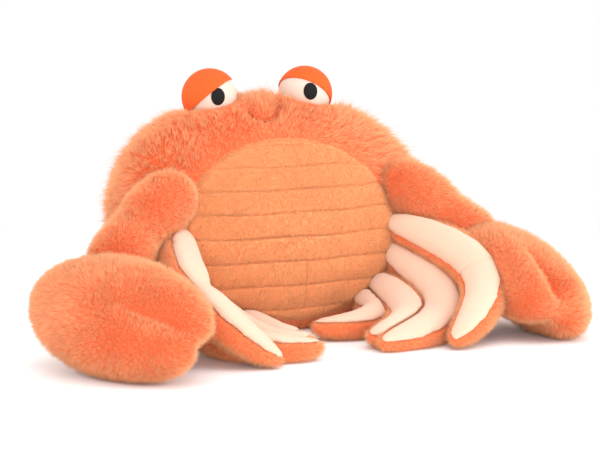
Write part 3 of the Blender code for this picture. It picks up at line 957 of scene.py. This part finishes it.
def make_leg(side, index):
    """One leg: its cream front, its coral back and the fleece on the back."""
    node = f"leg_{side}_{index}"
    swell = -LOWER_CREAM_SHRINK if index > 1 else 0.0
    cream = soft_form(f"{node}_cream", [f"{node}_front"], LEG_VOXEL, LEG_ROUNDS, swell)
    stuffed(cream, CREAM_PRESSURE, CREAM_CAP)
    finer = cream.modifiers.new("Finer", "SUBSURF")
    finer.levels = finer.render_levels = 1
    bake_modifiers(cream)
    fleece = soft_form(f"{node}_fleece", [f"{node}_back"], LEG_VOXEL, LEG_ROUNDS)
    for piece in (cream, fleece):
        put(piece, above_floor(places(piece)))
        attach(piece, "root")
    if (side, index) in KNEES:
        sew_knee(cream, *KNEES[side, index], KNEE_STITCH_DEPTH)
        sew_knee(fleece, *KNEES[side, index], 0.0)
    cream.data.materials.append(cream_suede)
    fleece.data.materials.append(coral_backing)
    points, normals = places(fleece), directions(fleece)
    cream_tree = BVHTree.FromObject(cream, bpy.context.evaluated_depsgraph_get())
    to_seam = np.array([cream_tree.find_nearest(Vector(point))[3] for point in points])
    length = 0.45 + 0.55 * ramp(to_seam, 0.0005, 0.004)
    density = ramp(points[:, 2], 0.0008, 0.002)
    paint(fleece, nap_outwards(points, normals) * 0.5, length, density)
    settings = dict(FLEECE, Seed=40 + index)
    pile = grow_pile(f"{node}_pile", fleece, short_strand, coral_fleece, **settings)
    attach(pile, "root")
    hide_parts(f"{node}_front")
    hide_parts(f"{node}_back")


for side in SIDES:
    for index in range(1, LEGS_ON_A_SIDE + 1):
        make_leg(side, index)

# %% [markdown]
# ## The belly
# An oval of short pile with sewn grooves across it, and one upright pleat low in its middle. A
# bump in the material could draw the grooves, but at this size they hold real shadow.
# So a net of points is laid on the front of the body, and each point is pushed in or out by how
# far it is from the nearest groove.

# %% The belly panel
GROOVES = np.array([0.0187, 0.0364, 0.0541, 0.0716, 0.0890, 0.1054, 0.1215, 0.1363])
GROOVE_DEPTH = 0.0022
GROOVE_WIDTH = 0.0008
PLEAT = ((0.0030, 0.0500), (0.0018, 0.0180))
PLEAT_DEPTH = 0.0022
PLEAT_WIDTH = 0.0011
RIB_HEIGHT = 0.0026
RIB_CROWN = 0.0006
RIB_HALF = 0.0085
NET_SINK = 0.0006
RINGS = 110
SPOKES = 320


def belly_height(x, z):
    """How far the belly stands proud of the body, and how far off the nearest seam is."""
    wander = 0.0004 * np.sin(x * 90.0 + z * 300.0)
    gap = np.min(np.abs(GROOVES[None, :] - (z - wander)[:, None]), axis=1)
    rib = RIB_HEIGHT + RIB_CROWN * np.sqrt(np.clip(gap / RIB_HALF, 0.0, 1.0))
    rib = rib - GROOVE_DEPTH * bell(gap, GROOVE_WIDTH)
    place = np.stack([x, np.zeros(len(x)), z], axis=1)
    fold = line_distance(place, np.array([(px, 0.0, pz) for px, pz in PLEAT]))
    rib = rib - PLEAT_DEPTH * bell(fold, PLEAT_WIDTH)
    gap = np.minimum(gap, fold)
    oval = np.hypot(x / BELLY_HALF[0], (z - BELLY_MIDDLE_HEIGHT) / BELLY_HALF[1])
    rim = 1.0 - ramp(oval, 0.93, 1.0)
    return rib * (0.15 + 0.85 * rim), gap


shape = bmesh.new()
bmesh.ops.create_circle(shape, cap_ends=False, radius=1.0, segments=SPOKES)
rim = shape.edges[:]
for ring in range(RINGS - 1, 0, -1):
    made = bmesh.ops.extrude_edge_only(shape, edges=rim)["geom"]
    rim = [part for part in made if isinstance(part, bmesh.types.BMEdge)]
    moved = {point for edge in rim for point in edge.verts}
    factor = ring / (ring + 1.0)
    for point in moved:
        point.co *= factor
bmesh.ops.holes_fill(shape, edges=rim, sides=0)
flat = np.array([point.co[:2] for point in shape.verts])
xs = flat[:, 0] * BELLY_HALF[0]
zs = BELLY_MIDDLE_HEIGHT + flat[:, 1] * BELLY_HALF[1]
tall, groove_gap = belly_height(xs, zs)
for point, x, z, proud in zip(shape.verts, xs, zs, tall):
    place, normal = front_of_body(x, z)
    point.co = place + Vector(normal) * float(proud - NET_SINK)
bmesh.ops.recalc_face_normals(shape, faces=shape.faces)
belly = new_piece("belly_ribs", shape)
print("belly points:", len(belly.data.vertices))
if directions(belly)[:, 1].mean() > 0:
    belly.data.flip_normals()
belly.data.materials.append(peach_cord)
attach(belly, "root")
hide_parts("belly_panel")

# %% The belly's pile
BELLY_NAP = np.array([0.0, -0.2, -0.8])
BELLY_PILE = {
    "Per Square Metre": 2300000.0,
    "Length": 0.0026,
    "Width": 0.00046,
    "Lean": 0.35,
    "Tuft Size": 0.0024,
    "Tuft Pull": 0.55,
    "Tuft Chance": 0.7,
    "Stray": 0.4,
    "Bend": 0.1,
    "Seed": 70,
}
in_groove = bell(groove_gap, GROOVE_WIDTH * 1.1)
paint(belly, BELLY_NAP, 1.0 - 0.75 * in_groove, 1.0 - 0.6 * in_groove)
belly_pile = grow_pile("belly_pile", belly, short_strand, peach_pile, **BELLY_PILE)
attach(belly_pile, "root")

# %% [markdown]
# ## Eyes and smile
# The eyes are stuffed balls of off-white felt with a cap of orange felt over the outer upper
# part, and a stitched pupil. The cap and the pupil could be colours on the ball, but felt and
# stitching stand a little proud of it. So the cap is a slightly bigger ball that is cut by a plane
# and given a thickness, and the pupil is a flattened ball that follows the eye.


# %% Eyes
LID_FACING = Vector((0.525, 0.364, 0.772)).normalized()
PUPILS = {
    "left": Vector((-0.076, -0.995, 0.070)).normalized(),
    "right": Vector((-0.200, -0.967, 0.155)).normalized(),
}
PUPIL_HALF = (0.0055, 0.0066)
PUPIL_PROUD = 0.0003
PUPIL_THICKNESS = 0.0006
LID_CLEARANCE = 0.0012
LID_THICKNESS = 0.0011


def ball(middle, radius):
    """A bmesh ball, for an eye or a lid."""
    shape = bmesh.new()
    bmesh.ops.create_uvsphere(
        shape, u_segments=64, v_segments=40, radius=radius, matrix=Matrix.Translation(middle)
    )
    return shape


for side, sign in SIDES.items():
    middle, radius = eye_middles[side]
    eye = new_piece(f"eye_{side}_ball", ball(middle, radius))
    eye.data.materials.append(eye_felt)
    facing = Vector((LID_FACING.x * sign, LID_FACING.y, LID_FACING.z))
    shape = ball(middle, radius + LID_CLEARANCE)
    geometry = shape.verts[:] + shape.edges[:] + shape.faces[:]
    bmesh.ops.bisect_plane(
        shape, geom=geometry, plane_co=middle, plane_no=facing, clear_inner=True
    )
    bmesh.ops.solidify(shape, geom=shape.faces[:], thickness=LID_THICKNESS)
    lid = new_piece(f"eye_{side}_lid", shape)
    lid.data.materials.append(lid_felt)
    facing = PUPILS[side]
    turn = facing.to_track_quat("Z", "Y").to_matrix().to_4x4()
    shape = bmesh.new()
    bmesh.ops.create_uvsphere(shape, u_segments=48, v_segments=24, radius=1.0)
    for point in shape.verts:
        x, y, z = point.co
        flat = Vector((x * PUPIL_HALF[0], y * PUPIL_HALF[1], 0.0))
        ball_rise = math.sqrt(max(radius**2 - flat.length_squared, 0.0))
        rise = ball_rise + PUPIL_PROUD + z * PUPIL_THICKNESS
        point.co = middle + turn @ Vector((flat.x, flat.y, rise))
    pupil = new_piece(f"eye_{side}_pupil", shape)
    pupil.data.materials.append(pupil_thread)
    for piece, node, name in (
        (eye, f"eye_{side}", "eye_white"),
        (lid, f"eyelid_{side}", "lid_orange"),
        (pupil, f"pupil_{side}", "pupil_black"),
    ):
        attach(piece, "root")
        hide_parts(node)
    print(f"eye_{side} radius, mm:", round(radius * 1000, 1))

# %% [markdown]
# The smile is one thread that lies in the body's crease. A bevelled curve along the crease gives
# it a round section, and its dark red-brown is partly the thread's own colour and partly painted
# shade of the crease. It could be a row of small stitches instead, but the photo is too coarse to
# show whether there are any.

# %% The smile
SMILE_THREAD_RADIUS = 0.0009
curve = bpy.data.curves.new("smile", "CURVE")
curve.dimensions = "3D"
curve.bevel_depth = SMILE_THREAD_RADIUS
curve.bevel_resolution = 3
curve.use_fill_caps = True
spline = curve.splines.new("POLY")
spline.points.add(len(smile_line) - 1)
for point, place in zip(spline.points, smile_line):
    point.co = (*place, 1.0)
drawn = bpy.data.objects.new("smile_curve", curve)
bpy.context.scene.collection.objects.link(drawn)
bpy.context.view_layer.update()
smile_mesh = bpy.data.meshes.new_from_object(
    drawn.evaluated_get(bpy.context.evaluated_depsgraph_get())
)
bpy.data.objects.remove(drawn)
smile = bpy.data.objects.new("smile_thread", smile_mesh)
bpy.context.scene.collection.objects.link(smile)
smile_mesh.materials.clear()
smile_mesh.materials.append(mouth_thread_and_shade)
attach(smile, "root")
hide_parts("mouth_stitch")
print("smile points:", len(smile_mesh.vertices))

# %% [markdown]
# ## The stage
# A plain white floor that keeps the toy's shadow and fades into a white backdrop, big soft
# lamps, and the camera of the photo. A curved paper sweep is the usual way in a studio. A flat
# floor is simpler, and it fades because its far part glows white, but only to the camera.


# %% Floor and backdrop
FLOOR_RADIUS = 3.0
FADE_START = 0.30
FADE_END = 0.55


def make_floor():
    """A white disc that glows for the camera beyond the toy."""
    shape = bmesh.new()
    bmesh.ops.create_circle(shape, cap_ends=True, radius=FLOOR_RADIUS, segments=64)
    floor = new_piece("floor", shape)
    white = material("floor white", (0.93, 0.93, 0.93), 0.9)
    tree = white.node_tree
    shader = tree.nodes["Principled BSDF"]
    shader.inputs["Specular IOR Level"].default_value = 0.0
    glow = tree.nodes.new("ShaderNodeEmission")
    where = tree.nodes.new("ShaderNodeTexCoord")
    far = tree.nodes.new("ShaderNodeVectorMath")
    far.operation = "LENGTH"
    fade = tree.nodes.new("ShaderNodeMapRange")
    fade.interpolation_type = "SMOOTHSTEP"
    fade.inputs["From Min"].default_value = FADE_START
    fade.inputs["From Max"].default_value = FADE_END
    seen = tree.nodes.new("ShaderNodeLightPath")
    both = tree.nodes.new("ShaderNodeMath")
    both.operation = "MULTIPLY"
    mix = tree.nodes.new("ShaderNodeMixShader")
    link(
        tree,
        (where.outputs["Object"], far.inputs[0]),
        (far.outputs["Value"], fade.inputs["Value"]),
        (fade.outputs[0], both.inputs[0]),
        (seen.outputs["Is Camera Ray"], both.inputs[1]),
        (both.outputs[0], mix.inputs[0]),
        (shader.outputs[0], mix.inputs[1]),
        (glow.outputs[0], mix.inputs[2]),
        (mix.outputs[0], tree.nodes["Material Output"].inputs["Surface"]),
    )
    floor.data.materials.append(white)
    floor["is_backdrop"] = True


make_floor()
print("floor fades from, m:", FADE_START, "to", FADE_END)

# %% Lamps and world
WORLD_LEVEL = 0.78
world = bpy.data.worlds.new("white studio")
world.use_nodes = True
bpy.context.scene.world = world
tree = world.node_tree
background = tree.nodes["Background"]
background.inputs["Color"].default_value = (1.0, 1.0, 1.0, 1.0)
seen = tree.nodes.new("ShaderNodeLightPath")
level = tree.nodes.new("ShaderNodeMapRange")
level.inputs["To Min"].default_value = WORLD_LEVEL
level.inputs["To Max"].default_value = 1.0
link(
    tree,
    (seen.outputs["Is Camera Ray"], level.inputs["Value"]),
    (level.outputs[0], background.inputs["Strength"]),
)


def soft_lamp(name, place, target, size, power):
    """An area lamp of a width and height in metres, aimed at a place."""
    lamp = bpy.data.lights.new(name, "AREA")
    lamp.shape = "RECTANGLE"
    lamp.size, lamp.size_y = size
    lamp.energy = power
    holder = bpy.data.objects.new(name, lamp)
    holder.location = place
    way = Vector(target) - Vector(place)
    holder.rotation_euler = way.to_track_quat("-Z", "Y").to_euler()
    bpy.context.scene.collection.objects.link(holder)


soft_lamp("top softbox", (0.15, -0.25, 1.5), (0.0, -0.05, 0.05), (1.6, 1.2), 8.0)
soft_lamp("front softbox", (-0.7, -1.6, 0.9), (0.0, -0.05, 0.08), (1.4, 1.2), 5.0)
soft_lamp("low softbox", (-0.45, -1.7, 0.28), (0.0, -0.05, 0.04), (1.8, 0.5), 13.0)
soft_lamp("left softbox", (-1.5, 0.2, 0.6), (-0.05, -0.05, 0.08), (1.0, 1.0), 11.0)
soft_lamp("right softbox", (1.3, -1.0, 0.6), (0.12, -0.08, 0.05), (1.0, 0.8), 17.0)
soft_lamp("back softbox", (0.6, 1.4, 0.9), (0.0, -0.03, 0.08), (1.4, 1.0), 14.0)
print("lamps:", len(bpy.data.lights))

# %% Camera
AZIMUTH = math.radians(-25.0)
ELEVATION = math.radians(8.0)
TARGET = Vector((-0.004, -0.070, 0.082))
DISTANCE = 1.45
LENS = 117.6
SENSOR_WIDTH = 36.0
back = Vector(
    (
        math.sin(AZIMUTH) * math.cos(ELEVATION),
        -math.cos(AZIMUTH) * math.cos(ELEVATION),
        math.sin(ELEVATION),
    )
)
camera_data = bpy.data.cameras.new("photo camera")
camera_data.lens = LENS
camera_data.sensor_width = SENSOR_WIDTH
camera = bpy.data.objects.new("photo camera", camera_data)
camera.location = TARGET + back * DISTANCE
camera.rotation_mode = "QUATERNION"
camera.rotation_quaternion = (-back).to_track_quat("-Z", "Y")
bpy.context.scene.collection.objects.link(camera)
bpy.context.scene.camera = camera
print("camera to its target, m:", DISTANCE)

# %% Colours as written, and the sizes
bpy.context.scene.view_settings.view_transform = "Standard"
total = 0
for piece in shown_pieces():
    if piece.type == "MESH":
        piece.data.calc_loop_triangles()
        total += len(piece.data.loop_triangles)
print("triangles in all:", total)
